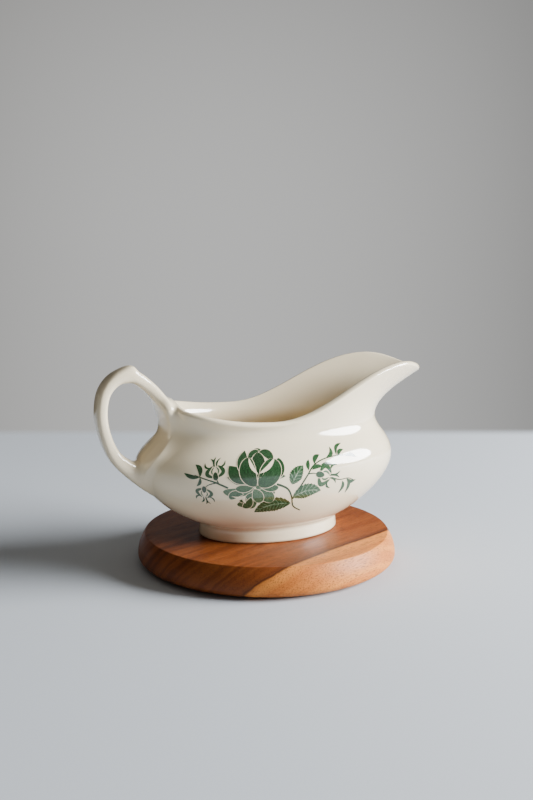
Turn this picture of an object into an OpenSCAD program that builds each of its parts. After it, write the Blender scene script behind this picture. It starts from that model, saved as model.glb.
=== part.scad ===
// Gravy boat on a round wooden stand.
// Origin: centre of the stand's underside. +X points to the spout, +Z up.
// Heights of the boat's own features are measured from the bottom of its foot.

/* [Wooden stand] */
// Largest diameter of the stand
stand_d = 151; // [145:1:165]
// Thickness of the stand
stand_t = 18; // [16:1:26]
// Width of the slope between the flat top and the largest diameter
stand_edge = 4.4; // [2:0.2:6]
// Height of the largest diameter below the top
stand_shoulder = 12.5; // [6:0.5:13]
// How far the lower edge tucks in
stand_tuck = 12; // [3:0.5:15]
// How far forward of the stand's centre the boat stands
boat_x = 1; // [-3:0.5:3]

/* [Foot ring] */
// Half length of the foot at the bottom
foot_l = 42.2; // [40:0.2:44]
// Half width of the foot at the bottom
foot_w = 30.1; // [28:0.1:32]
// Height of the foot
foot_h = 8.5; // [7:0.5:10]
// How much narrower the foot is where it meets the bowl
foot_draft = 0.8; // [0.5:0.1:2]
// Wall of the foot ring
foot_wall = 5; // [4:0.5:7]

/* [Bowl] */
// Wall thickness of the bowl
wall = 3.4; // [3:0.1:4]
// Reach of the belly towards the spout
belly_front = 78.2; // [76:0.2:82]
// Reach of the belly towards the handle
belly_back = 77.5; // [74:0.5:79]
// Half width of the belly
belly_w = 46; // [43:0.5:48]
// Height of the belly's widest line
belly_z = 41.8; // [38:0.2:44]
// Reach of the waist towards the spout
waist_front = 68.1; // [66:0.1:70]
// Reach of the waist towards the handle
waist_back = 62.5; // [61:0.5:65]
// Half width of the waist
waist_w = 34.4; // [33:0.1:36]
// Height of the waist
waist_z = 64.8; // [63:0.1:66]

/* [Rim and spout] */
// Reach of the spout's tip
rim_front = 96.8; // [92:0.2:100]
// Reach of the rim towards the handle
rim_back = 63; // [61:0.5:65]
// Half width of the rim
rim_w = 35.6; // [34:0.1:37]
// Where the rim is widest, along X
rim_mid = 3.6; // [0:0.1:6]
// Height of the rim at its lowest, before the rounded lip
rim_low = 68.2; // [67.5:0.1:70]
// Height of the rim at the spout's crest
rim_crest = 95.2; // [90:0.2:98]
// Height of the rim at the spout's tip
rim_tip = 88; // [84:0.5:90]
// Height of the rim at the back
rim_heel = 76.5; // [73:0.5:78]

/* [Handle] */
// Width of the handle strap
strap_w = 11.6; // [10:0.1:13]
// Thickness of the handle strap
strap_t = 6.4; // [5.5:0.1:7]
// Height of the thumb rest over the strap
thumb_h = 2.4; // [1:0.1:4]
// Width of the band on the bowl's back, where it meets the handle's upper end
band_w = 22; // [16:0.5:24]
// How far the band stands out from the bowl
band_h = 2.4; // [1.5:0.1:3]

/* [Hidden] */
glaze = [0.87, 0.84, 0.76];
timber = [0.55, 0.30, 0.14];
around = 96;                 // points round each ring of the bowl
turn = 360 / around;
neck_l = foot_l - foot_draft;
neck_w = foot_w - foot_draft;
low_x = -11;                 // the rim is lowest here
crest_x = 76;                // and highest here
underside_power = 0.66;      // under 1 fills the lower bowl out close to the foot
shoulder_power = 1.19;       // over 1 keeps the shoulder full below the waist
rim_full_front = 0.36;       // squareness of the spout, seen from above
rim_full_back = 0.34;        // squareness of the back, seen from above
stand_r = stand_d / 2;
stand_arc = 8;               // steps in each curve of the stand's edge
foot_round = 1.6;            // radius of the foot's lower edge

function lerp(a, b, k) = a + (b - a) * k;
function clamp01(u) = min(max(u, 0), 1);
function unit(v) = v / norm(v);
function spaced(from, to, count) = [for (i = [0:count]) lerp(from, to, i / count)];

// One egg-shaped ring, seen from above, at angle a from the spout
function ring(front, back, half_w, mid, full_front, full_back, a) =
    let (c = cos(a), s = sin(a),
         reach = (front + back) / 2, skew = (front - back) / 2 - mid,
         full = 1 + full_front * pow(c, 4) * (1 + c) / 2 + full_back * c * c * (1 - c) / 2)
    [mid + reach * c + skew * c * c, half_w * s * full];

function neck_at(a) = ring(neck_l, neck_l, neck_w, 0, 0, 0, a);
function belly_at(a) = ring(belly_front, belly_back, belly_w, 0, 0, 0, a);
function waist_at(a) = ring(waist_front, waist_back, waist_w, 0, 0, rim_full_back / 2, a);
function rim_at(a) = ring(rim_front, rim_back, rim_w, rim_mid, rim_full_front, rim_full_back, a);

// Height of the rim: low in the middle, high at the spout, a little raised at the back
function rim_height(x) =
    let (rise = (1 - cos(180 * clamp01((x - low_x) / (crest_x - low_x)))) / 2,
         drop = pow(clamp01((x - crest_x) / (rim_front - crest_x)), 2),
         heel = pow(clamp01((low_x - x) / (low_x + rim_back)), 2))
    rim_low + (rim_crest - rim_low) * rise - (rim_crest - rim_tip) * drop + (rim_heel - rim_low) * heel;

// Outside of the bowl: s runs 0 neck, 1 belly, 2 waist, 3 rim
function under(a, s) =
    let (k = sin(90 * s), h = pow(1 - cos(90 * s), underside_power))
    [each lerp(neck_at(a), belly_at(a), k), lerp(foot_h, belly_z, h)];
function shoulder(a, s) =
    let (k = (1 - cos(180 * pow(s, shoulder_power))) / 2)
    [each lerp(belly_at(a), waist_at(a), k), lerp(belly_z, waist_z, s)];
function flare(a, s) =
    let (k = 1 - cos(90 * s), r = rim_at(a))
    [each lerp(waist_at(a), r, k), lerp(waist_z, rim_height(r.x), s)];
function outside(a, s) = s <= 1 ? under(a, s) : s <= 2 ? shoulder(a, s - 1) : flare(a, s - 2);

function along(a, s) = outside(a, min(s + 0.01, 3)) - outside(a, max(s - 0.01, 0));
function outward(a, s) = unit(cross(outside(a + 0.1, s) - outside(a - 0.1, s), along(a, s)));
function skin(a, s, out) = outside(a, s) + out * outward(a, s);

// Rounded lip over the rim: b runs from 0 on the outside to 180 on the inside
function lip(a, b) =
    outside(a, 3) - outward(a, 3) * wall / 2
    + (outward(a, 3) * cos(b) + unit(along(a, 3)) * sin(b)) * wall / 2;

bowl_levels = concat(spaced(0, 1, 9), spaced(1.12, 2, 7), spaced(2.125, 3, 7));
lip_steps = spaced(30, 150, 4);

// Closed solid through a list of equal rings, with a fan over each end
module tube(rings) {
    n = len(rings[0]);
    m = len(rings);
    ends = [for (r = [rings[0], rings[m - 1]]) [for (v = r) 1] * r / n];
    sides = [for (i = [0:m - 2], j = [0:n - 1])
        let (k = (j + 1) % n)
        each [[i * n + j, (i + 1) * n + k, i * n + k], [i * n + j, (i + 1) * n + j, (i + 1) * n + k]]];
    caps = [for (j = [0:n - 1])
        let (k = (j + 1) % n)
        each [[m * n, j, k], [m * n + 1, (m - 1) * n + k, (m - 1) * n + j]]];
    polyhedron([for (r = rings) each r, each ends], concat(sides, caps), convexity = 6);
}

// The back of the bowl with no hollow, on the bowl's own facets, to fit the handle and band against
back_half = 9;               // how many of the bowl's facets it takes on each side
back_depth = 25;             // how far it reaches into the bowl
back_low = 0.3;              // level it starts from, below the lowest point of handle and band
module bowl_back() {
    back = [for (i = [around / 2 - back_half:around / 2 + back_half]) i * turn];
    function filled(side) = concat(side, [for (p = [side[2 * back_half], side[0]]) p + [back_depth, 0, 0]]);
    tube(concat(
        [for (s = bowl_levels) if (s > back_low) filled([for (a = back) outside(a, s)])],
        [for (b = lip_steps) filled([for (a = back) lip(a, b)])]));
}

// Strap of the handle: centre line (x, z), then width and thickness as shares of the strap's own
strap_path = [
    [-61, 28, 1.3, 1.9], [-73, 36.8, 1.15, 2.05], [-84, 44, 1.05, 1.5], [-92, 51.5, 1, 1.15],
    [-97, 62, 1, 1], [-99.5, 75, 1, 1], [-97.5, 87.5, 1, 1.05], [-90.5, 95, 1.02, 1.15],
    [-81, 95.5, 1.05, 1.15], [-73.5, 90.3, 1.08, 1.12], [-67.9, 84, 1.45, 1.15], [-64.2, 77.8, 2.3, 1.1],
    [-62.3, 70, 2.05, 0.85], [-61.8, 64, 1.9, 0.75]];
strap_steps = 5;             // rings between two points of the path
strap_sides = 24;
thumb_at = 7.85;             // the thumb rest's tip, counted along the path's points
thumb_rise = 0.5;            // length of its slow side, counted the same way
thumb_drop = 0.2;            // length of its steep side
strap_square = 0.62;         // under 1 turns the oval section into a rounded bar

// Smooth curve through the points of a path, at t counted in points
function curve(path, t) =
    let (last = len(path) - 1, i = min(floor(t), last - 1), u = t - i,
         a = path[max(i - 1, 0)], b = path[i], c = path[i + 1], d = path[min(i + 2, last)])
    (2 * b + (c - a) * u + (2 * a - 5 * b + 4 * c - d) * u * u + (3 * b - a - 3 * c + d) * u * u * u) / 2;

function signed_power(v, p) = sign(v) * pow(abs(v), p);
function strap_ring(t) =
    let (p = curve(strap_path, t),
         ahead = curve(strap_path, min(t + 0.05, len(strap_path) - 1)),
         behind = curve(strap_path, max(t - 0.05, 0)),
         dir = unit([ahead.x - behind.x, ahead.y - behind.y]),
         side = [-dir.y, dir.x],
         rest = thumb_h * exp(-pow((t - thumb_at) / (t < thumb_at ? thumb_rise : thumb_drop), 2)))
    [for (i = [0:strap_sides - 1])
        let (b = i * 360 / strap_sides,
             across = signed_power(cos(b), strap_square) * strap_w * p[2] / 2,
             up = signed_power(sin(b), strap_square) * strap_t * p[3] / 2 + rest * max(sin(b), 0))
        [p.x + side.x * up, across, p.y + side.y * up]];

module strap() {
    tube([for (t = [0:1 / strap_steps:len(strap_path) - 1]) strap_ring(t)]);
}

// The rim swells up and inward beside the handle, so that the strap's top flows into the rim
saddle_h = 4.4;              // how far the swelling rises over the rim, in the middle
saddle_t = 3;                // how much thicker than the wall it is there
saddle_reach = 15;           // how far it spreads to each side
saddle_slope = 0.5;          // how steeply its top falls inward
saddle_sink = 0.2;           // how deep it sits inside the rim's own skin
saddle_lift = 0.3;           // how far its underside stays above the lip's own
saddle_half = 32;            // degrees it takes round the rim, on each side
saddle_steps = 16;
function saddle_ring(a) =
    let (edge = outside(a, 3), o = outward(a, 3), out = unit([o.x, o.y, 0]),
         grow = exp(-pow(edge.y / saddle_reach, 2)),
         half = wall / 2 - saddle_sink + saddle_t / 2 * grow,
         high = saddle_h / 2 * grow, low = wall / 2 - saddle_lift)
    [for (i = [0:strap_sides - 1])
        let (b = i * 360 / strap_sides, v = half * cos(b))
        edge + out * (v - half - saddle_sink)
            + [0, 0, high + (high + low) * sin(b) + saddle_slope * grow * v]];
module saddle() {
    tube([for (a = spaced(180 + saddle_half, 180 - saddle_half, saddle_steps)) saddle_ring(a)]);
}

// Flat band on the bowl's back, from the belly up to the rim, with softened edges
band_levels = spaced(0.88, 2.94, 24);
band_across = [-1, -0.97, -0.85, -0.4, 0, 0.4, 0.85, 0.97, 1];
band_soft = 0.7;             // height of the band at its very edges, as a share of band_h
band_spread = 0.28;          // how much wider the band is over the belly, as a share of band_w
band_spread_at = 1.45;       // level where it is widest
band_nip = 0.32;             // how much narrower it is at its lower end
band_fade = 0.3;             // levels over which either change of width fades out
function band_share(s) =
    1 + band_spread * exp(-pow((s - band_spread_at) / band_fade, 2))
    - band_nip * max(1 - (s - band_levels[0]) / band_fade, 0);
// Half the band's width as an angle round the bowl, from how far the bowl's back turns in one degree
function band_half_angle(s) = asin(band_w * band_share(s) / 2 * sin(1) / outside(179, s).y);
function band_ring(s) =
    let (half = band_half_angle(s))
    concat([for (u = band_across) skin(180 + u * half, s, abs(u) == 1 ? band_h * band_soft : band_h)],
        [for (u = [1, 0, -1]) skin(180 + u * half, s, -wall / 2)]);
module band() {
    tube([for (s = band_levels) band_ring(s)]);
}

module wooden_stand() {
    widest = stand_t - stand_shoulder;
    lower = [for (b = spaced(0, 90, stand_arc))
        [stand_r - stand_tuck * (1 - sin(b)), widest * (1 - cos(b))]];
    upper = [for (u = spaced(0, 1, stand_arc))
        [stand_r - stand_edge * u * u, widest + stand_shoulder * u]];
    color(timber)
        rotate_extrude($fn = 180)
            polygon(concat([[0, 0]], lower, [for (i = [1:stand_arc]) upper[i]], [[0, stand_t]]));
}

module foot_ring() {
    // Each step: [inset at the outside, height]; the lower edge is rounded and the top sits on the bowl
    edge = [for (b = spaced(0, 90, 3)) [foot_round * (1 - sin(b)), foot_round * (1 - cos(b))]];
    levels = concat(edge, [for (u = [0.5, 1]) [foot_draft * u, lerp(foot_round, foot_h, u)]]);
    function oval(inset, z) =
        [for (i = [0:around - 1])
            [(foot_l - inset) * cos(i * turn), (foot_w - inset) * sin(i * turn), z]];
    color(glaze)
        translate([boat_x, 0, stand_t])
            difference() {
                tube([for (v = levels) oval(v[0], v[1])]);
                tube([for (z = [-1, foot_h + 1]) oval(foot_wall, z)]);
            }
}

module bowl() {
    color(glaze)
        translate([boat_x, 0, stand_t])
            bowl_shell();
}

module bowl_shell() {
    function level(s, out) = [for (i = [0:around - 1]) skin(i * turn, s, out)];
    inner_levels = [for (i = [len(bowl_levels) - 1:-1:0]) bowl_levels[i]];
    tube(concat(
        [for (s = bowl_levels) level(s, 0)],
        [for (b = lip_steps) [for (i = [0:around - 1]) lip(i * turn, b)]],
        [for (s = inner_levels) level(s, -wall)]));
}

module back_band() {
    color(glaze)
        translate([boat_x, 0, stand_t])
            difference() {
                band();
                bowl_back();
            }
}

module handle() {
    color(glaze)
        translate([boat_x, 0, stand_t])
            difference() {
                union() {
                    strap();
                    saddle();
                }
                band();
                bowl_back();
            }
}

wooden_stand();
foot_ring();
bowl();
back_band();
handle();
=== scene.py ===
"""Looks for a gravy boat on a round wooden stand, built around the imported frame."""
import math

import bmesh
import bpy
import numpy as np
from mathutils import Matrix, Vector
from mathutils.bvhtree import BVHTree


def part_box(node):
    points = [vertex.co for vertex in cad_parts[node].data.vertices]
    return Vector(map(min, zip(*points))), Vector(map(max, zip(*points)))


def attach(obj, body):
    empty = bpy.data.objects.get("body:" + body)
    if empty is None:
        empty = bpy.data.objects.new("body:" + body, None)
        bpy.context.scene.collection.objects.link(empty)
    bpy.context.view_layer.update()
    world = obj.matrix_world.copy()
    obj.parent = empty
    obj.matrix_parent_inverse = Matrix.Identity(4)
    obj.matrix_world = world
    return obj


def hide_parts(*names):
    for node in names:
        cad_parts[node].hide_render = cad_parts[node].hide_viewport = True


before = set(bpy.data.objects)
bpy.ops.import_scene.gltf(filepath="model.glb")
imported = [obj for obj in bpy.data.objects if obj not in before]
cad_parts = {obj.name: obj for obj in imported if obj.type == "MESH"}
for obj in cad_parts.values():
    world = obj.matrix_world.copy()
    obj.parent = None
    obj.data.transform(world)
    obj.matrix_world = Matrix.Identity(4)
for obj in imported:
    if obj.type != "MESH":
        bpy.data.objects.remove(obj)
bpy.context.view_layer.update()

MM = 0.001
BOAT, STAND = "boat", "stand"

# Places and sizes that the frame gives, in millimetres
stand_box = [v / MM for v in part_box("wooden_stand")]
foot_box = [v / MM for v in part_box("foot_ring")]
STAND_R = stand_box[1].x
STAND_T = stand_box[1].z
FOOT_L = (foot_box[1].x - foot_box[0].x) / 2
FOOT_W = foot_box[1].y
FOOT_H = foot_box[1].z - foot_box[0].z
BOAT_X = (foot_box[1].x + foot_box[0].x) / 2

# The stand's edge
STAND_EDGE = 4.4        # slope between the flat top and the largest diameter
STAND_SHOULDER = 12.5   # largest diameter below the top
STAND_TUCK = 12.0       # how far the lower edge tucks in
CREASE_R = 0.7          # rounding of the sharp line round the top

# The bowl, in millimetres over the bottom of its foot
WALL = 3.4
BELLY = dict(front=78.2, back=77.5, half_w=46.0)
WAIST = dict(front=68.1, back=62.5, half_w=34.4, full_back=0.17)
RIM = dict(front=96.8, back=63.0, half_w=35.6, mid=3.6, full_front=0.36, full_back=0.34)
FOOT_DRAFT = 0.8
NECK = dict(front=FOOT_L - FOOT_DRAFT, back=FOOT_L - FOOT_DRAFT, half_w=FOOT_W - FOOT_DRAFT)
BELLY_Z, WAIST_Z = 41.8, 64.8
RIM_LOW, RIM_CREST, RIM_TIP, RIM_HEEL = 68.2, 95.2, 88.0, 76.5
LOW_X, CREST_X = -11.0, 76.0
UNDERSIDE_POWER, SHOULDER_POWER = 0.66, 1.19

# The handle
STRAP_W, STRAP_T = 11.6, 6.4
THUMB_H, THUMB_AT, THUMB_RISE, THUMB_DROP = 2.4, 7.85, 0.5, 0.2
STRAP_SQUARE = 0.62
STRAP_PATH = np.array([
    [-61, 28, 1.3, 1.9], [-73, 36.8, 1.15, 2.05], [-84, 44, 1.05, 1.5], [-92, 51.5, 1, 1.15],
    [-97, 62, 1, 1], [-99.5, 75, 1, 1], [-97.5, 87.5, 1, 1.05], [-90.5, 95, 1.02, 1.15],
    [-81, 95.5, 1.05, 1.15], [-73.5, 90.3, 1.08, 1.12], [-67.9, 84, 1.45, 1.15], [-64.2, 77.8, 2.3, 1.1],
    [-62.3, 70, 2.05, 0.85], [-61.8, 64, 1.9, 0.75]])

# The raised band on the bowl's back; levels count as in outside()
BAND_W, BAND_H = 22, 2.4
BAND_LEVELS = 0.88, 2.97                   # lower and upper end
BAND_SPREAD, BAND_SPREAD_AT = 0.28, 1.45   # how much wider it is over the belly, and at which level
BAND_NIP = 0.32                            # how much narrower it is at its lower end
BAND_FADE = 0.3                            # levels over which either change of width fades out

# The swelling of the rim beside the handle
SADDLE_H, SADDLE_T = 4.4, 3.0              # rise over the rim and added thickness, in the middle
SADDLE_REACH, SADDLE_SLOPE = 15, 0.5       # spread to each side, and fall of its top inward
SADDLE_SINK, SADDLE_LIFT = 0.2, 0.3        # how far it sits inside the lip's own skin, at the side and below
SADDLE_HALF = 32                           # degrees it takes round the rim, on each side


def linear(r, g, b):
    """An sRGB colour, 0 to 255, as the linear colour that Blender's nodes take."""
    def one(v):
        v /= 255
        return v / 12.92 if v <= 0.04045 else ((v + 0.055) / 1.055) ** 2.4
    return (one(r), one(g), one(b), 1.0)


# ---------------------------------------------------------------- shape of the bowl
def ring(a, front, back, half_w, mid=0.0, full_front=0.0, full_back=0.0):
    """One egg-shaped ring, seen from above, at angles a from the spout."""
    c, s = np.cos(a), np.sin(a)
    reach, skew = (front + back) / 2, (front - back) / 2 - mid
    full = 1 + full_front * c**4 * (1 + c) / 2 + full_back * c * c * (1 - c) / 2
    return mid + reach * c + skew * c * c, half_w * s * full


def rim_height(x):
    rise = (1 - np.cos(np.pi * np.clip((x - LOW_X) / (CREST_X - LOW_X), 0, 1))) / 2
    drop = np.clip((x - CREST_X) / (RIM["front"] - CREST_X), 0, 1) ** 2
    heel = np.clip((LOW_X - x) / (LOW_X + RIM["back"]), 0, 1) ** 2
    return (RIM_LOW + (RIM_CREST - RIM_LOW) * rise - (RIM_CREST - RIM_TIP) * drop
            + (RIM_HEEL - RIM_LOW) * heel)


def outside(a, s):
    """The bowl's outside at angle a; s runs 0 neck, 1 belly, 2 waist, 3 rim."""
    a, s = np.broadcast_arrays(np.asarray(a, float), np.asarray(s, float))
    nx, ny = ring(a, **NECK)
    bx, by = ring(a, **BELLY)
    wx, wy = ring(a, **WAIST)
    rx, ry = ring(a, **RIM)
    under, shoulder, flare = np.clip(s, 0, 1), np.clip(s - 1, 0, 1), np.clip(s - 2, 0, 1)
    out = np.sin(under * np.pi / 2)
    lift = (1 - np.cos(under * np.pi / 2)) ** UNDERSIDE_POWER
    tuck = (1 - np.cos(np.pi * shoulder**SHOULDER_POWER)) / 2
    open_ = 1 - np.cos(flare * np.pi / 2)
    x = nx + (bx - nx) * out + (wx - bx) * tuck + (rx - wx) * open_
    y = ny + (by - ny) * out + (wy - by) * tuck + (ry - wy) * open_
    z = (FOOT_H + (BELLY_Z - FOOT_H) * lift + (WAIST_Z - BELLY_Z) * shoulder
         + (rim_height(rx) - WAIST_Z) * flare)
    return np.stack([x, y, z], -1)


def unit(v):
    return v / np.linalg.norm(v, axis=-1, keepdims=True)


def along(a, s):
    return outside(a, np.minimum(s + 0.01, 3)) - outside(a, np.maximum(s - 0.01, 0))


def outward(a, s):
    return unit(np.cross(outside(a + 0.002, s) - outside(a - 0.002, s), along(a, s)))


def skin(a, s, out):
    """The bowl's surface moved out by that many millimetres."""
    return outside(a, s) + out * outward(a, s)


def lip(a, b, inset=0.0):
    """The rounded rim: b is 0 on the outside and 180 degrees on the inside."""
    s = np.full_like(a, 3.0)
    side, up = outward(a, s), unit(along(a, s))
    return outside(a, s) - side * WALL / 2 + (side * math.cos(b) + up * math.sin(b)) * (WALL / 2 - inset)


# ---------------------------------------------------------------- mesh helpers
def placed(points):
    """Boat millimetres to metres in the row frame."""
    return (np.asarray(points) + [BOAT_X, 0, STAND_T]) * MM


def new_object(name, points, faces):
    mesh = bpy.data.meshes.new(name)
    mesh.from_pydata([tuple(p) for p in points], [], [tuple(f) for f in faces])
    mesh.validate()
    mesh.update()
    mesh.polygons.foreach_set("use_smooth", [True] * len(mesh.polygons))
    obj = bpy.data.objects.new(name, mesh)
    bpy.context.collection.objects.link(obj)
    return obj


def tube(rings, caps=True):
    """Points and faces through a list of equal rings, with a fan over each end if it has caps."""
    rings = np.asarray(rings)
    m, n = rings.shape[:2]
    faces = [(i * n + j, i * n + (j + 1) % n, (i + 1) * n + (j + 1) % n, (i + 1) * n + j)
             for i in range(m - 1) for j in range(n)]
    points = list(rings.reshape(-1, 3))
    if caps:
        points.append(rings[0].mean(0))
        faces += [((j + 1) % n, j, len(points) - 1) for j in range(n)]
        points.append(rings[-1].mean(0))
        last = (m - 1) * n
        faces += [(last + j, last + (j + 1) % n, len(points) - 1) for j in range(n)]
    return points, faces


def slab(upper, lower):
    """Points and faces of a closed solid between two equal grids of points."""
    upper, lower = np.asarray(upper), np.asarray(lower)
    m, n = upper.shape[:2]
    at = np.arange(m * n).reshape(m, n)
    cells = [(at[i, j], at[i, j + 1], at[i + 1, j + 1], at[i + 1, j])
             for i in range(m - 1) for j in range(n - 1)]
    faces = cells + [tuple(k + m * n for k in cell[::-1]) for cell in cells]
    border = [*at[0, :], *at[1:, -1], *at[-1, -2::-1], *at[-2:0:-1, 0]]
    faces += [(b, a, a + m * n, b + m * n) for a, b in zip(border, border[1:] + border[:1])]
    return list(upper.reshape(-1, 3)) + list(lower.reshape(-1, 3)), faces


def apply_modifiers(obj):
    bpy.context.view_layer.update()
    done = bpy.data.meshes.new_from_object(obj.evaluated_get(bpy.context.evaluated_depsgraph_get()))
    obj.modifiers.clear()
    obj.data = done
    done.polygons.foreach_set("use_smooth", [True] * len(done.polygons))


def finish_piece(obj, body, node, material):
    obj.data.materials.clear()
    obj.data.materials.append(material)
    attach(obj, body)
    if node:
        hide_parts(*node)
    return obj


# ---------------------------------------------------------------- pieces of the boat
AROUND = 256


def turns(low, high, count):
    return np.radians(np.linspace(low, high, count))


def make_bowl(material):
    a = np.linspace(0, 2 * np.pi, AROUND, endpoint=False)
    levels = np.concatenate([np.linspace(0, 1, 41), np.linspace(1, 2, 31)[1:], np.linspace(2, 3, 31)[1:]])
    outer = [outside(a, s) for s in levels]
    lips = [lip(a, b) for b in turns(15, 165, 11)]
    inner = [skin(a, s, -WALL) for s in levels[::-2]]
    floor = [inner[-1] * [k, k, 1] for k in (0.9, 0.75, 0.5, 0.25, 0.05)]
    base = [outer[0] * [k, k, 1] for k in (0.05, 0.5, 0.9)]
    points, faces = tube(base + outer + lips + inner + floor)
    bowl = new_object("bowl_shell", placed(points), faces)
    return finish_piece(bowl, BOAT, ["bowl"], material)


def make_foot(material):
    """The foot ring: rounded at the bottom, hollow inside, with a fillet that runs out into the bowl."""
    wall, edge, fillet = 5.0, 1.6, 2.2
    inner_edge, clay = 1.2, 1.5     # rounding of the inner lower edge, and how deep the top sits in the bowl
    blend_end = 0.055               # level on the bowl's side where the fillet runs out
    blend_draft = 0.7               # share of the draft that is left where the fillet starts
    a = np.linspace(0, 2 * np.pi, AROUND, endpoint=False)

    def oval(inset, z):
        return np.stack([(FOOT_L - inset) * np.cos(a), (FOOT_W - inset) * np.sin(a), np.full_like(a, z)], -1)

    outer = [oval(edge * (1 - math.sin(b)), edge * (1 - math.cos(b))) for b in turns(0, 90, 8)]
    start = oval(FOOT_DRAFT * blend_draft, FOOT_H - fillet)
    corner, end = outside(a, 0.0), outside(a, blend_end)
    outer += [start * (1 - t)**2 + corner * 2 * t * (1 - t) + end * t * t for t in np.linspace(0, 1, 12)]
    inner = ([skin(a, blend_end, -clay), oval(wall + 1.0, FOOT_H + 0.5)]
             + [oval(wall + 0.8 * k, inner_edge + (FOOT_H - inner_edge) * k) for k in (0.8, 0.4, 0.0)]
             + [oval(wall - inner_edge * (1 - math.cos(b)), inner_edge * (1 - math.sin(b)))
                for b in turns(25, 90, 4)])
    points, faces = tube(outer + inner + [outer[0]], caps=False)
    foot = new_object("foot_ring_shell", placed(points), faces)
    weld(foot, 1e-6)
    return finish_piece(foot, BOAT, ["foot_ring"], material)


def weld(obj, distance):
    bm = bmesh.new()
    bm.from_mesh(obj.data)
    bmesh.ops.remove_doubles(bm, verts=bm.verts, dist=distance)
    bmesh.ops.recalc_face_normals(bm, faces=bm.faces)
    bm.to_mesh(obj.data)
    bm.free()


def curve_at(path, t):
    """Smooth curve through a path's points at t, counted in points."""
    last = len(path) - 1
    i = min(int(t), last - 1)
    u = t - i
    a, b, c, d = path[max(i - 1, 0)], path[i], path[i + 1], path[min(i + 2, last)]
    return (2 * b + (c - a) * u + (2 * a - 5 * b + 4 * c - d) * u * u + (3 * b - a - 3 * c + d) * u**3) / 2


def strap_ring(t, sides=40):
    last = len(STRAP_PATH) - 1
    p = curve_at(STRAP_PATH, t)
    step = curve_at(STRAP_PATH, min(t + 0.05, last)) - curve_at(STRAP_PATH, max(t - 0.05, 0))
    way = step[:2] / np.linalg.norm(step[:2])
    side = np.array([-way[1], way[0]])
    rest = THUMB_H * math.exp(-((t - THUMB_AT) / (THUMB_RISE if t < THUMB_AT else THUMB_DROP)) ** 2)
    b = np.linspace(0, 2 * np.pi, sides, endpoint=False)
    across = np.sign(np.cos(b)) * np.abs(np.cos(b)) ** STRAP_SQUARE * STRAP_W * p[2] / 2
    up = (np.sign(np.sin(b)) * np.abs(np.sin(b)) ** STRAP_SQUARE * STRAP_T * p[3] / 2
          + rest * np.maximum(np.sin(b), 0))
    return np.stack([p[0] + side[0] * up, across, p[1] + side[1] * up], -1)


def band_grids():
    """The band's face and its back, sunk inside the bowl's wall."""
    across = np.array([-1, -0.97, -0.85, -0.4, 0, 0.4, 0.85, 0.97, 1])
    share = np.where(np.abs(across) > 0.98, 0.7, 1.0)
    face, back = [], []
    for s in np.linspace(*BAND_LEVELS, 60):
        width = BAND_W * (1 + BAND_SPREAD * math.exp(-((s - BAND_SPREAD_AT) / BAND_FADE) ** 2)
                          - BAND_NIP * max(1 - (s - BAND_LEVELS[0]) / BAND_FADE, 0))
        half = math.asin(width / 2 * math.sin(math.radians(1)) / outside(np.radians(179.0), s)[1])
        face.append(skin(math.pi + across * half, s, (share * BAND_H)[:, None]))
        back.append(skin(math.pi + across * half, s, -WALL / 2))
    return face, back


def saddle_ring(a, sides=24):
    """The rim swells up and inward beside the handle, so that the strap's top flows into the rim."""
    edge, out = outside(a, 3.0), unit(outward(a, 3.0) * [1, 1, 0])
    grow = math.exp(-(edge[1] / SADDLE_REACH) ** 2)
    half = WALL / 2 - SADDLE_SINK + SADDLE_T / 2 * grow
    high, low = SADDLE_H / 2 * grow, WALL / 2 - SADDLE_LIFT
    b = np.linspace(0, 2 * np.pi, sides, endpoint=False)[:, None]
    v = half * np.cos(b)
    return edge + out * (v - half - SADDLE_SINK) + np.array([0, 0, 1]) * (
        high + (high + low) * np.sin(b) + SADDLE_SLOPE * grow * v)


def wall_grids():
    """The back of the bowl's wall, a little thinner, so that the handle's fillets have clay to run into."""
    a, inset = turns(180 - 46, 180 + 46, 60), 0.1
    levels = np.linspace(0.5, 3, 80)
    face = [skin(a, s, -inset) for s in levels] + [lip(a, b, inset) for b in turns(15, 75, 5)]
    back = [skin(a, s, inset - WALL) for s in levels] + [lip(a, b, inset) for b in turns(165, 105, 5)]
    return face, back


def neighbour_average(mesh):
    """A function that averages a value over each vertex's neighbours."""
    edges = np.empty(len(mesh.edges) * 2, np.int64)
    mesh.edges.foreach_get("vertices", edges)
    a, b = edges[0::2], edges[1::2]
    count = np.bincount(np.concatenate([a, b]), minlength=len(mesh.vertices)).astype(float)[:, None]

    def average(values):
        total = [np.bincount(a, c[b], len(c)) + np.bincount(b, c[a], len(c)) for c in values.T]
        return np.stack(total, -1) / count
    return average


def vertex_values(mesh, name):
    values = np.empty(len(mesh.vertices) * 3)
    mesh.vertices.foreach_get(name, values)
    return values.reshape(-1, 3)


CLAY_VOXEL = 0.55       # millimetres between the points of the joined skin
HIDDEN_DEPTH = 0.04     # skin this deep inside the bowl's wall is taken away
EVEN_ROUNDS, FILL_ROUNDS, FILL_STEPS = 5, 60, 6
# Where the clay is filled up most, as middle (x, z) and reach: the upper join, the band and the lower join
FILLETS = (-66, 79, 14), (-69, 61, 13), (-75, 43, 13)
FILL_ELSEWHERE = 0.02


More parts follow.
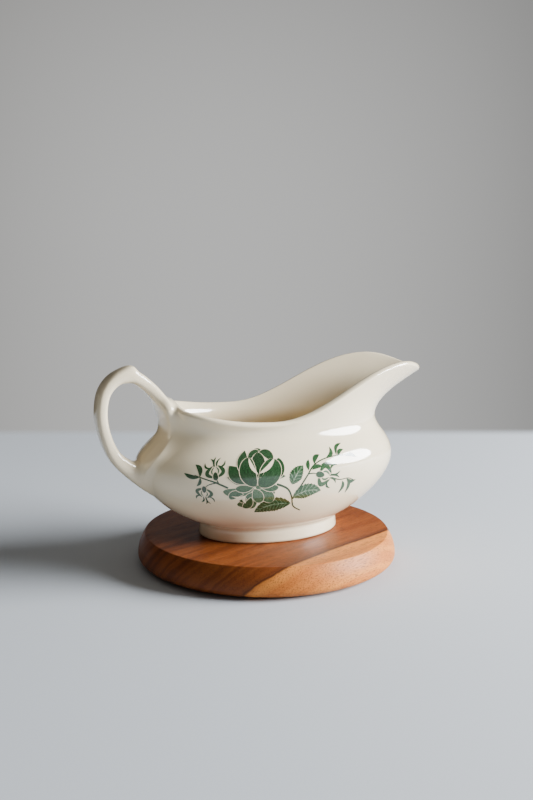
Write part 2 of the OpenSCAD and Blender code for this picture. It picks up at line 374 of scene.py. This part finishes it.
def make_handle(material, bowl):
    """Strap and band as one clay skin, with the soft fillets of a luted joint against the bowl."""
    last = len(STRAP_PATH) - 1
    points, faces = [], []
    strap = tube([strap_ring(t) for t in np.linspace(0, last, 12 * last + 1)])
    saddle = tube([saddle_ring(a) for a in turns(180 + SADDLE_HALF, 180 - SADDLE_HALF, 60)])
    for part_points, part_faces in (strap, saddle, slab(*band_grids()), slab(*wall_grids())):
        faces += [tuple(i + len(points) for i in f) for f in part_faces]
        points += [tuple(p) for p in part_points]
    handle = new_object("handle_and_band", placed(points), faces)
    join = handle.modifiers.new("join", "REMESH")
    join.mode = "VOXEL"
    join.voxel_size = CLAY_VOXEL * MM
    apply_modifiers(handle)
    smooth_clay(handle)
    keep_outside(handle, bowl)
    return finish_piece(handle, BOAT, ["handle", "back_band"], material)


def smooth_clay(handle):
    """Evens the skin a little all over, and fills its hollow corners where strap, band and rim meet."""
    mesh = handle.data
    average = neighbour_average(mesh)
    co = vertex_values(mesh, "co")
    for i in range(EVEN_ROUNDS):
        co = co + 0.5 * (average(co) - co)
    place = co / MM - [BOAT_X, 0, STAND_T]

    def near(x, z, reach):
        return np.exp(-(((place[:, 0] - x) / reach) ** 2 + ((place[:, 2] - z) / reach) ** 2) ** 2)

    amount = np.clip(sum(near(*fillet) for fillet in FILLETS) + FILL_ELSEWHERE, 0, 1)[:, None]
    for i in range(FILL_ROUNDS):
        mesh.vertices.foreach_set("co", co.ravel())
        mesh.update()
        normal = vertex_values(mesh, "normal")
        for j in range(FILL_STEPS):
            step = 0.5 * amount * (average(co) - co)
            rise = (step * normal).sum(-1, keepdims=True)
            co = co + normal * np.maximum(rise, 0) + 0.25 * (step - normal * rise)
    mesh.vertices.foreach_set("co", co.ravel())
    mesh.update()


def keep_outside(handle, bowl):
    """Takes away the skin that lies hidden inside the bowl's wall."""
    tree = BVHTree.FromObject(bowl, bpy.context.evaluated_depsgraph_get())
    hidden = []
    for v in handle.data.vertices:
        spot, normal = tree.find_nearest(v.co)[:2]
        hidden.append((v.co - spot).dot(normal) < -HIDDEN_DEPTH * MM)
    bm = bmesh.new()
    bm.from_mesh(handle.data)
    bm.verts.ensure_lookup_table()
    bmesh.ops.delete(bm, geom=[f for f in bm.faces if all(hidden[v.index] for v in f.verts)], context="FACES")
    bm.to_mesh(handle.data)
    bm.free()


def make_stand(material):
    """The turned stand: flat top, a slope from a fine crease to the widest line, and a tucked foot."""
    widest = STAND_T - STAND_SHOULDER
    slope = math.atan2(STAND_SHOULDER, 2 * STAND_EDGE)
    lower = [(STAND_R - STAND_TUCK * (1 - math.sin(b)), widest * (1 - math.cos(b)))
             for b in np.radians(np.linspace(0, 90, 15))]
    upper = [(STAND_R - STAND_EDGE * u * u, widest + STAND_SHOULDER * u)
             for u in np.linspace(0, 0.955, 15)[1:]]
    start = math.pi / 2 - slope
    crease_x, crease_z = STAND_R - STAND_EDGE, STAND_T
    setback = CREASE_R * math.tan((math.pi / 2 - start) / 2)
    centre = (crease_x - setback, crease_z - CREASE_R)
    crease = [(centre[0] + CREASE_R * math.cos(b), centre[1] + CREASE_R * math.sin(b))
              for b in np.linspace(start, math.pi / 2, 6)]
    top = [(r, STAND_T) for r in (66, 56, 44, 30, 16, 4)]
    under = [(r, 0) for r in (4, 20, 40, 55)]
    a = np.linspace(0, 2 * np.pi, AROUND, endpoint=False)
    rings = [np.stack([r * np.cos(a), r * np.sin(a), np.full_like(a, z)], -1)
             for r, z in under + lower + upper + crease + top]
    points, faces = tube(rings)
    stand = new_object("wooden_stand_turned", np.asarray(points) * MM, faces)
    return finish_piece(stand, STAND, ["wooden_stand"], material)


# ---------------------------------------------------------------- materials
class Nodes:
    """A short way to build a node tree: n.add(type, value by socket name...)."""

    def __init__(self, owner):
        owner.use_nodes = True
        self.tree = owner.node_tree

    def add(self, kind, settings=None, **inputs):
        node = self.tree.nodes.new("ShaderNode" + kind)
        for key, value in (settings or {}).items():
            setattr(node, key, value)
        for key, value in inputs.items():
            self.set(node, key, value)
        return node

    def set(self, node, key, value):
        """key is a socket's name with _ for spaces, or i and its number."""
        if key[0] == "i" and key[1:].isdigit():
            socket = node.inputs[int(key[1:])]
        else:
            socket = next(s for s in node.inputs if s.enabled and s.name.replace(" ", "_") == key)
        if isinstance(value, bpy.types.NodeSocket):
            self.tree.links.new(value, socket)
        else:
            socket.default_value = value

    def math(self, operation, a, b=0.0, clamp=False):
        return self.add("Math", dict(operation=operation, use_clamp=clamp), i0=a, i1=b).outputs[0]

    def plus(self, a, b):
        return self.math("ADD", a, b)

    def times(self, a, b):
        return self.math("MULTIPLY", a, b)

    def mix(self, factor, a, b):
        return self.add("Mix", dict(data_type="RGBA", clamp_factor=True), i0=factor, i6=a, i7=b).outputs[2]

    def ramp(self, value, *stops):
        """A grey or a colour that runs through (place, grey or colour) stops."""
        node = self.add("ValToRGB", i0=value)
        elements = node.color_ramp.elements
        while len(elements) < len(stops):
            elements.new(0.5)
        for element, (place, colour) in zip(elements, stops):
            element.position = place
            element.color = colour if isinstance(colour, tuple) else (colour, colour, colour, 1.0)
        return node.outputs[0]

    def spread(self, value, low, high, new_low=0.0, new_high=1.0, smooth=False):
        kind = "SMOOTHSTEP" if smooth else "LINEAR"
        return self.add("MapRange", dict(interpolation_type=kind), i0=value, i1=low, i2=high,
                        i3=new_low, i4=new_high).outputs[0]

    def stretch(self, vector, *scale):
        return self.add("Mapping", Vector=vector, Scale=scale).outputs[0]

    def noise(self, vector, scale=1.0, detail=2.0, roughness=0.5):
        return self.add("TexNoise", Vector=vector, Scale=scale, Detail=detail, Roughness=roughness).outputs[0]

    def bump(self, height, strength, distance):
        return self.add("Bump", Height=height, Strength=strength, Distance=distance).outputs[0]

    def dot(self, vector, way):
        return self.add("VectorMath", dict(operation="DOT_PRODUCT"), i0=vector, i1=way).outputs["Value"]


def surface_material(name):
    """A new material's node builder and its shader."""
    material = bpy.data.materials.new(name)
    n = Nodes(material)
    return material, n, n.tree.nodes["Principled BSDF"]


CREAM = linear(244, 228, 196)


def glaze_material(printed=False):
    """Cream earthenware under a clear glossy glaze: faint mottling, iron specks and a slow wave.
    The printed one adds the green transfer under it."""
    material, n, shader = surface_material("printed_glaze" if printed else "cream_glaze")
    place = n.add("TexCoord").outputs["Object"]
    cloud = n.noise(place, 22, 3)
    speck = n.add("TexVoronoi", Vector=place, Scale=420, Randomness=1).outputs["Distance"]
    spots = n.times(n.spread(speck, 0.05, 0.0), n.spread(n.noise(place, 160, 1), 0.6, 0.68))
    colour = n.mix(cloud, CREAM, linear(239, 221, 186))
    colour = n.mix(n.times(spots, 0.3), colour, linear(150, 120, 84))
    if printed:
        colour = transfer_print(n, place, colour)
    wave = n.plus(n.noise(place, 38, 2), n.times(n.noise(place, 260, 2), 0.08))
    n.set(shader, "Base_Color", colour)
    n.set(shader, "Roughness", n.spread(cloud, 0.3, 0.7, 0.08, 0.14))
    n.set(shader, "IOR", 1.5)
    n.set(shader, "Coat_Weight", 0.8)
    n.set(shader, "Coat_Roughness", 0.04)
    n.set(shader, "Normal", n.bump(wave, 0.05, 0.002))
    return material


def transfer_print(n, place, cream):
    """Green ink: stippled tone, engraved lines along each petal, veins in each leaf, and cream edge lines."""
    ink = n.add("SeparateColor", Color=n.add("Attribute", dict(attribute_name="ink")).outputs["Color"])
    tone, edge, leaf = ink.outputs
    along = n.add("SeparateXYZ", Vector=n.add("UVMap", dict(uv_map="blade")).outputs[0])
    length, across = along.outputs[0], n.math("ABSOLUTE", along.outputs[1])
    stipple = n.noise(place, 1500, 2, 0.6)
    strokes = n.add("CombineXYZ", i0=n.times(length, 0.25), i1=n.times(along.outputs[1], 9.0)).outputs[0]
    lines = n.noise(strokes, 1, 3, 0.7)
    veins = n.math("FRACT", n.plus(n.times(length, 0.42), n.times(across, -1.1)))
    vein = n.math("MAXIMUM", n.spread(veins, 0.2, 0.08), n.spread(across, 0.11, 0.05))
    shade = n.plus(tone, n.plus(n.times(n.plus(lines, -0.5), 0.75), n.times(n.plus(stipple, -0.5), 0.7)))
    shade = n.plus(shade, n.times(n.times(vein, leaf), 0.42))
    green = n.ramp(shade, (0.0, linear(23, 46, 24)), (0.35, linear(42, 74, 42)), (0.65, linear(84, 110, 80)),
                   (1.0, linear(172, 183, 157)))
    return n.mix(n.spread(edge, 0.05, 0.09), cream, green)


def wood_material():
    """Varnished acacia: red-brown heartwood and pale sapwood that meet at a dark layer through the disc."""
    material, n, shader = surface_material("varnished_acacia")
    place = n.add("TexCoord").outputs["Object"]
    turned = n.add("Mapping", Vector=place, Rotation=(0.0, 0.03, math.radians(-23)),
                   Scale=(1 / MM, 1 / MM, 1 / MM)).outputs[0]
    along, across, up = n.add("SeparateXYZ", Vector=turned).outputs
    warp = n.noise(n.stretch(turned, 0.012, 0.05, 0.05), 1, 2, 0.5)
    ripple = n.noise(n.stretch(turned, 0.03, 0.25, 0.25), 1, 2, 0.5)
    layer = n.plus(n.plus(across, n.times(up, 0.95)), n.plus(n.times(warp, 5), n.times(ripple, 2.5)))
    depth = n.plus(layer, 35.0)        # millimetres into the heartwood from the dark layer
    growth = n.add("CombineXYZ", i0=n.times(along, 0.006), i1=n.times(depth, 0.12)).outputs[0]
    rings = n.noise(growth, 1, 4, 0.62)
    fibres = n.noise(n.stretch(turned, 0.09, 2.6, 2.6), 1, 3, 0.6)
    pores = n.noise(n.stretch(turned, 0.3, 2.4, 2.4), 1, 1, 0.5)
    heart = n.ramp(rings, (0.3, linear(92, 43, 16)), (0.45, linear(120, 60, 24)), (0.56, linear(138, 74, 32)),
                   (0.7, linear(107, 51, 20)))
    sap = n.ramp(rings, (0.35, linear(184, 104, 44)), (0.65, linear(216, 136, 62)))
    colour = n.mix(n.spread(depth, -0.6, 0.6), sap, heart)
    dark = n.math("MAXIMUM", n.times(n.spread(n.math("ABSOLUTE", n.plus(depth, -0.9)), 1.5, 0.3), 0.85),
                  n.times(n.spread(depth, 4.0, 1.0, 0.0, 0.7), n.spread(depth, 0.0, 1.0)))
    colour = n.mix(n.times(dark, 0.8), colour, linear(52, 26, 17))
    colour = n.mix(n.spread(fibres, 0.46, 0.3, 0.0, 0.6), colour, linear(74, 34, 14))
    colour = n.mix(n.spread(pores, 0.41, 0.34, 0.0, 0.6), colour, linear(40, 18, 10))
    n.set(shader, "Base_Color", colour)
    n.set(shader, "Roughness", n.spread(fibres, 0.3, 0.7, 0.5, 0.38))
    n.set(shader, "Normal", n.bump(n.plus(fibres, n.times(n.spread(pores, 0.34, 0.41), 0.6)), 0.22, 0.0006))
    n.set(shader, "Specular_IOR_Level", 0.16)
    n.set(shader, "Coat_Weight", 0.06)
    n.set(shader, "Coat_Roughness", 0.3)
    return material


# ---------------------------------------------------------------- the rose print
PRINT_LIFT, PRINT_STEP = 0.05, 0.006      # millimetres over the bowl, and between overlapping petals
DARK, STEM, LEAFLET, MID = 0.2, 0.22, 0.34, 0.38      # tones of the ink
BELLY_COLUMN = 100                        # the belly's place among side_tables' 301 levels


def side_tables():
    """Turns millimetres round and up the bowl's side, from its middle at the belly, into angle and level."""
    a, s = turns(180, 360, 361), np.linspace(0, 3, 301)
    grid = outside(a[:, None], s[None, :])
    belly = grid[:, BELLY_COLUMN]
    run = np.concatenate([[0], np.cumsum(np.linalg.norm(np.diff(belly, axis=0), axis=1))])
    climb = np.cumsum(np.linalg.norm(np.diff(grid, axis=1), axis=2), axis=1)
    climb = np.concatenate([np.zeros((len(a), 1)), climb], 1)
    climb -= climb[:, BELLY_COLUMN:BELLY_COLUMN + 1]
    heights = np.linspace(-45, 40, 171)
    levels = np.stack([np.interp(heights, row, s) for row in climb])
    return a, run - run[180], heights, levels


def on_bowl(tables, u, v, lift):
    a, run, heights, levels = tables
    angle = np.interp(u, run, a)
    i = (angle - a[0]) / (a[1] - a[0])
    j = (np.clip(v, heights[0], heights[-1] - 0.01) - heights[0]) / (heights[1] - heights[0])
    i0, j0 = np.clip(i.astype(int), 0, len(a) - 2), j.astype(int)
    fi, fj = i - i0, j - j0
    level = ((levels[i0, j0] * (1 - fj) + levels[i0, j0 + 1] * fj) * (1 - fi)
             + (levels[i0 + 1, j0] * (1 - fj) + levels[i0 + 1, j0 + 1] * fj) * fi)
    return skin(angle, level, lift)


class Transfer:
    """Gathers blades and stems in flat millimetres: u towards the spout, v up."""

    def __init__(self):
        self.grids = []

    def blade(self, base, tip, width, bend=0.0, tone=DARK, fat=1.0, round_tip=False, teeth=0, step=0,
              edged=False, bare=False):
        """A leaf or petal. fat over 1 puts its widest part nearer the tip; teeth make a serrated edge,
        and a bare one leaves the cream showing."""
        t = (1 - np.cos(np.linspace(0, np.pi, 41))) / 2 if not teeth else np.linspace(0, 1, 65)
        w = np.linspace(-1, 1, 11)
        base, way = np.array(base, float), np.subtract(tip, base)
        size = np.linalg.norm(way)
        across = np.array([-way[1], way[0]])
        middle = base + way * t[:, None] + across * (bend * np.sin(np.pi * t))[:, None]
        heading = way + across * (bend * np.pi * np.cos(np.pi * t))[:, None]
        normal = unit(np.stack([-heading[:, 1], heading[:, 0]], -1))
        half = width / 2 * (1 - np.abs(2 * t**fat - 1) ** 2) ** (0.5 if round_tip else 1.0)
        reach = np.broadcast_to(half[:, None] * w, (len(t), len(w))).copy()
        if teeth:
            saw = (t * teeth) % 1
            reach[:, 0] *= 1.0 + 0.2 * saw
            reach[:, -1] *= 1.0 + 0.2 * saw
        spots = middle[:, None] + normal[:, None] * reach[:, :, None]
        edge = (1 - np.abs(w)) * half[:, None] / 4 if round_tip or edged else np.full(reach.shape, 1.0)
        if bare:
            edge = np.zeros(reach.shape)
        leaf = 1.0 if teeth else 0.0
        self.grids.append((spots, np.broadcast_to(t[:, None] * size, reach.shape),
                           np.broadcast_to(w, reach.shape), tone, edge, leaf, step))

    def stem(self, width, *path):
        path = np.array(path, float)
        t = np.linspace(0, len(path) - 1, 12 * len(path))
        middle = np.array([curve_at(path, k) for k in t])
        heading = np.gradient(middle, axis=0)
        normal = unit(np.stack([-heading[:, 1], heading[:, 0]], -1))
        w = np.array([-1, 0, 1])
        half = width / 2 * (1 - 0.55 * t / t[-1])
        spots = middle[:, None] + normal[:, None] * (half[:, None] * w)[:, :, None]
        one = np.ones((len(t), 3))
        self.grids.append((spots, one, one * 0.5, STEM, one, 0.0, 0))

    def bud(self, centre, size, heading, tone=MID):
        """A small bud: curled petals round a pale heart, a dark cup, and curling sepals past its mouth."""
        way = np.array([math.cos(math.radians(heading)), math.sin(math.radians(heading))])
        side = np.array([-way[1], way[0]])

        def at(forward, out):
            return np.array(centre) + (way * forward + side * out) * size
        for out in (-1, 1):
            self.blade(at(-0.9, 0), at(1.0, 0.35 * out), 0.75 * size, 0.55 * out, tone, 1.1, True)
            self.blade(at(-0.6, 0.15 * out), at(0.8, 0.1 * out), 0.4 * size, 0.28 * out, tone + 0.2, 1.2,
                       True, step=1)
        self.blade(at(-1.3, 0), at(0.0, 0), 0.95 * size, 0, DARK, 0.8, True, step=2)
        for forward, out, bend in ((1.7, 1.6, 0.3), (2.3, 0.9, -0.2), (2.5, 0.0, 0.15), (2.2, -0.8, 0.2),
                                   (1.6, -1.5, -0.3)):
            self.blade(at(0.7, 0.35 * out), at(forward, out), 0.3 * size, bend, tone - 0.05)

    def build(self, name, tables, material, far):
        """The gathered shapes on the bowl. The far side takes the same transfer, turned half round."""
        points, faces, colours, blade_uv = [], [], [], []
        for spots, length, across, tone, edge, leaf, step in self.grids:
            m, n = length.shape
            u = spots[..., 0] * (-1 if far else 1)
            place = on_bowl(tables, u, spots[..., 1], PRINT_LIFT + PRINT_STEP * step)
            if far:
                place = place * [1, -1, 1]
            at = np.arange(m * n).reshape(m, n) + len(points)
            faces += [(at[i, j], at[i + 1, j], at[i + 1, j + 1], at[i, j + 1])
                      for i in range(m - 1) for j in range(n - 1)]
            points += list(place.reshape(-1, 3))
            one = np.ones((m, n))
            colours.append(np.stack([one * tone, one * edge, one * leaf, one], -1).reshape(-1, 4))
            blade_uv.append(np.stack([length, across], -1).reshape(-1, 2))
        obj = new_object(name, placed(points), faces)
        mesh = obj.data
        ink = mesh.color_attributes.new("ink", "FLOAT_COLOR", "POINT")
        ink.data.foreach_set("color", np.concatenate(colours).ravel())
        corner = np.empty(len(mesh.loops), np.int64)
        mesh.loops.foreach_get("vertex_index", corner)
        mesh.uv_layers.new(name="blade").data.foreach_set("uv", np.concatenate(blade_uv)[corner].ravel())
        face_outward(mesh)
        return finish_piece(obj, BOAT, None, material)


def face_outward(mesh):
    """Turns the print's faces so that they look away from the middle of the bowl."""
    mesh.update()
    middle = Vector(placed([0, 0, BELLY_Z]))
    if sum((p.center - middle).dot(p.normal) for p in mesh.polygons) < 0:
        mesh.flip_normals()


def rose_spray():
    t = Transfer()
    # The drooping lower flower, pale, with a curl of small petals at its left
    for petal in (((-27, -3), (-45, -6), 6.5, 0.14, 0.55), ((-27, -3), (-16, -8), 6, -0.1, 0.5),
                  ((-34, -8), (-42, -11), 5, -0.2, 0.45), ((-32, -9), (-39, -15), 5, 0.25, 0.4),
                  ((-26, -6), (-18, -14), 8, 0.1, 0.5), ((-28, -7), (-31, -18), 8, -0.1, 0.45),
                  ((-28, -5), (-26, -14), 7, 0.1, 0.55), ((-33, -10), (-37, -12), 3, 0.3, 0.3),
                  ((-30, -10), (-36, -17), 5, 0.15, 0.36), ((-27, -2), (-38, -4.5), 5, 0.1, 0.44),
                  ((-25, -2), (-14, -5), 5, -0.1, 0.42)):
        t.blade(*petal, 1.3, True, step=len(t.grids))
    t.blade((-33, -9), (-33.5, -14), 1.8, -0.2, bare=True, step=len(t.grids))
    t.blade((-32, -8.5), (-41, -9), 0.9, 0.12, bare=True, step=len(t.grids))
    # The outer petals of the open flower, dark and pointed
    for petal in (((-31, -3), (-42.5, 2), 7, -0.12, 0.3), ((-30, -2), (-42, 8.5), 8.5, 0.05, 0.26),
                  ((-33, 2), (-33.6, 17.5), 6.5, 0.08, 0.22), ((-28, -2), (-9.5, 1), 6, 0.1, 0.34)):
        t.blade(*petal, 1.1, edged=True, step=len(t.grids))
    # The cup: the closed heart with its back petals, then the petals that open in a V in front of it
    for petal in (((-19, -1), (-13.5, 11.5), 6, -0.22, 0.24), ((-28, 9), (-23.5, 17), 7, 0.2, 0.26),
                  ((-25, 15.5), (-17, 10.5), 5.5, 0.2, 0.24), ((-31, 11), (-25, 16.5), 4, 0.2, 0.22),
                  ((-25, 1), (-25.6, 15.5), 8.5, 0.0, 0.14),
                  ((-25.2, -3.5), (-17.2, 11.6), 12.5, -0.15, 0.28),
                  ((-26.6, -3.5), (-31, 12.8), 9.5, 0.14, 0.2)):
        t.blade(*petal, 1.15, True, step=len(t.grids))
    t.blade((-25.4, 3), (-31, 12.6), 1.9, 0.08, bare=True, step=len(t.grids))
    t.blade((-25, 3.6), (-15.6, 11.8), 2.3, -0.1, bare=True, step=len(t.grids))
    # Small toothed leaves under the flower, then the large leaves on the stem
    for leaf in (((-6, -4), (1, 6), 7, 0.08, 0.34), ((-5, -12), (13, -10), 8, 0.12, 0.36),
                 ((-6, -16), (-30, -21), 8.5, -0.1, 0.26)):
        t.blade(*leaf, 0.85, teeth=11)
    # Leaflets on the twigs, at the left and then at the right
    for leaflet in (((-57, 2), (-66, 4), 2.4, 0.1), ((-57, 2), (-61, 9), 2.6, -0.2),
                    ((-57, 2), (-59, -3), 1.8, 0.2), ((4, 3), (5, 9), 2.4, 0.1),
                    ((6, 3), (13, 4), 2.4, 0.15), ((12, 5), (20, 4), 2.0, 0.1),
                    ((8, 6), (13, 11), 2.8, 0.2), ((17, 9), (22, 15), 2.4, -0.25),
                    ((25, 8), (31, 12), 2.2, 0.2), ((30, 8), (38, 6), 2.2, 0.15),
                    ((27, -6), (27, -14), 2.4, 0.2), ((31, -6), (33, -15), 2.4, 0.15),
                    ((30, -5), (38, -7), 2.4, -0.2), ((24, 9), (32, 16), 2.0, 0.2)):
        t.blade(*leaflet, LEAFLET)
    t.stem(1.2, (-42, -4), (-48, -1), (-54, 1), (-60, 3))
    t.stem(0.8, (-48, -1), (-52, -2), (-55, -4))
    t.stem(0.8, (-47, -1), (-48, 1), (-49, 2))
    t.stem(1.3, (-15, -3), (-9, -6), (-6, -11), (-4, -18), (2, -22))
    t.stem(1.1, (-5, -13), (-1, -6), (3, 0), (7, 5), (14, 8), (24, 9), (34, 8))
    t.stem(0.8, (4, 1), (7, 1), (10, 0))
    t.stem(0.8, (19, -3), (25, -5), (31, -5), (36, -7))
    t.bud((-49, 5), 3.6, 100)
    t.bud((-55.5, -7), 3.2, -100)
    t.bud((14, -1), 4.4, -15)
    return t


def make_prints(material):
    spray, tables = rose_spray(), side_tables()
    spray.build("rose_print_near", tables, material, False)
    spray.build("rose_print_far", tables, material, True)


# ---------------------------------------------------------------- room, light and camera
VIEW_TURN = math.radians(24)        # the camera stands this far round from the boat's side, to its back
VIEW_RISE = math.radians(17.0)
VIEW_REACH = 0.660
VIEW_PITCH = math.radians(10.45)
AIM = Vector((0, 0, STAND_T * MM))
RIGHT = Vector((math.cos(VIEW_TURN), -math.sin(VIEW_TURN), 0))
AWAY = Vector((math.sin(VIEW_TURN), math.cos(VIEW_TURN), 0))


def from_camera(right, up, depth):
    """A place given as seen from the camera's side: metres right, up, and away, from the stand's top."""
    return AIM + RIGHT * right + AWAY * depth + Vector((0, 0, up))


def make_camera():
    data = bpy.data.cameras.new("camera")
    data.lens = 50
    data.sensor_width = 36
    camera = bpy.data.objects.new("camera", data)
    bpy.context.collection.objects.link(camera)
    camera.location = from_camera(0, VIEW_REACH * math.sin(VIEW_RISE), -VIEW_REACH * math.cos(VIEW_RISE))
    camera.rotation_euler = (math.pi / 2 - VIEW_PITCH, 0, -VIEW_TURN)
    bpy.context.scene.camera = camera


WINDOW_W, WINDOW_H, WINDOW_WATTS = 1.0, 0.8, 101
WINDOW_TURN, WINDOW_RISE = math.radians(86), math.radians(21)     # round from the camera to its right, and up
WINDOW_REACH = 1.5


def make_window():
    """One large soft window to the right of the table, a little in front."""
    data = bpy.data.lights.new("window", "AREA")
    data.shape = "ELLIPSE"
    data.size, data.size_y = WINDOW_W, WINDOW_H
    data.energy = WINDOW_WATTS
    data.color = (0.96, 1.0, 1.04)
    lamp = bpy.data.objects.new("window", data)
    bpy.context.collection.objects.link(lamp)
    level = WINDOW_REACH * math.cos(WINDOW_RISE)
    lamp.location = from_camera(level * math.sin(WINDOW_TURN), WINDOW_REACH * math.sin(WINDOW_RISE),
                                -level * math.cos(WINDOW_TURN))
    lamp.rotation_euler = (AIM - lamp.location).to_track_quat("-Z", "Y").to_euler()


def make_room():
    """Light from the rest of the room: a grey wall behind the table, a pale ceiling, and dark to the left and
    in front, with a soft haze along the horizon there and a pale floor past the table's end."""
    world = bpy.data.worlds.new("room")
    bpy.context.scene.world = world
    n = Nodes(world)
    way = n.add("TexCoord").outputs["Generated"]
    right, away, up = n.dot(way, RIGHT), n.dot(way, AWAY), n.dot(way, (0, 0, 1))
    sideways = n.math("POWER", n.math("ABSOLUTE", n.plus(right, 0.04)), 2)
    high = n.math("POWER", n.math("MAXIMUM", n.plus(up, 0.05), 0), 2)
    wall = n.times(n.math("SUBTRACT", 1, n.times(sideways, 6.5), True),
                   n.math("SUBTRACT", 1, n.times(high, 6), True))
    wall = n.times(wall, n.spread(away, 0.0, 0.8, smooth=True))
    rest = n.ramp(n.spread(right, -1, 1), (0.0, (0.03, 0.023, 0.017, 1)), (0.35, (0.09, 0.078, 0.062, 1)),
                  (0.6, (0.125, 0.122, 0.117, 1)), (1.0, (0.24, 0.25, 0.26, 1)))
    rest = n.mix(n.spread(away, 0.35, -0.35, 0.0, 0.8), rest, (0.035, 0.027, 0.019, 1))
    rest = n.mix(n.spread(up, 0.45, 0.95, 0.0, 0.8), rest, (0.3, 0.3, 0.29, 1))
    haze = n.times(n.spread(up, 0.5, -0.05, smooth=True), n.spread(away, 0.0, -0.5, smooth=True))
    rest = n.mix(haze, rest, (0.27, 0.265, 0.255, 1))
    colour = n.mix(wall, rest, linear(201, 201, 200))
    colour = n.mix(n.spread(up, -0.22, -0.34, smooth=True), colour, linear(182, 184, 186))
    n.set(n.tree.nodes["Background"], "Color", colour)


TABLE_END, TABLE_BLUR = 0.352, 0.018    # how far behind the stand's middle the table ends, and how softly
TABLE_HALF = 4.0
TABLE_FADE = 3.3, 0.3                   # where it fades out in front, as 1 / metres: from 0.3 m to 3.3 m


def make_floor():
    """A pale table top. It ends softly behind the object, where the room's grey takes over, and fades
    out in front of it by its angle from the object, so that the glaze mirrors no hard edge."""
    corners = [(RIGHT * x + AWAY * y) * TABLE_HALF for x, y in ((-1, -1), (1, -1), (1, 1), (-1, 1))]
    floor = new_object("table_top", corners, [(0, 1, 2, 3)])
    material, n, shader = surface_material("pale_table")
    place = n.add("TexCoord").outputs["Object"]
    paper = n.noise(place, 900, 3, 0.6)
    n.set(shader, "Base_Color", n.mix(paper, linear(192, 196, 201), linear(199, 203, 208)))
    n.set(shader, "Roughness", 0.75)
    n.set(shader, "Specular_IOR_Level", 0.25)
    away = n.dot(place, AWAY)
    nearness = n.math("DIVIDE", 1.0, n.math("MAXIMUM", n.times(away, -1.0), 0.01))
    gone = n.math("MAXIMUM", n.spread(away, TABLE_END - TABLE_BLUR, TABLE_END + TABLE_BLUR, smooth=True),
                  n.spread(nearness, *TABLE_FADE, smooth=True))
    clear = n.add("BsdfTransparent").outputs[0]
    both = n.add("MixShader", i0=gone, i1=shader.outputs[0], i2=clear).outputs[0]
    n.set(n.tree.nodes["Material Output"], "Surface", both)
    floor.data.materials.append(material)


# ---------------------------------------------------------------- the scene
make_camera()
make_window()
make_room()
make_floor()
glaze = glaze_material()
bowl = make_bowl(glaze)
make_foot(glaze)
make_handle(glaze, bowl)
make_stand(wood_material())
make_prints(glaze_material(printed=True))
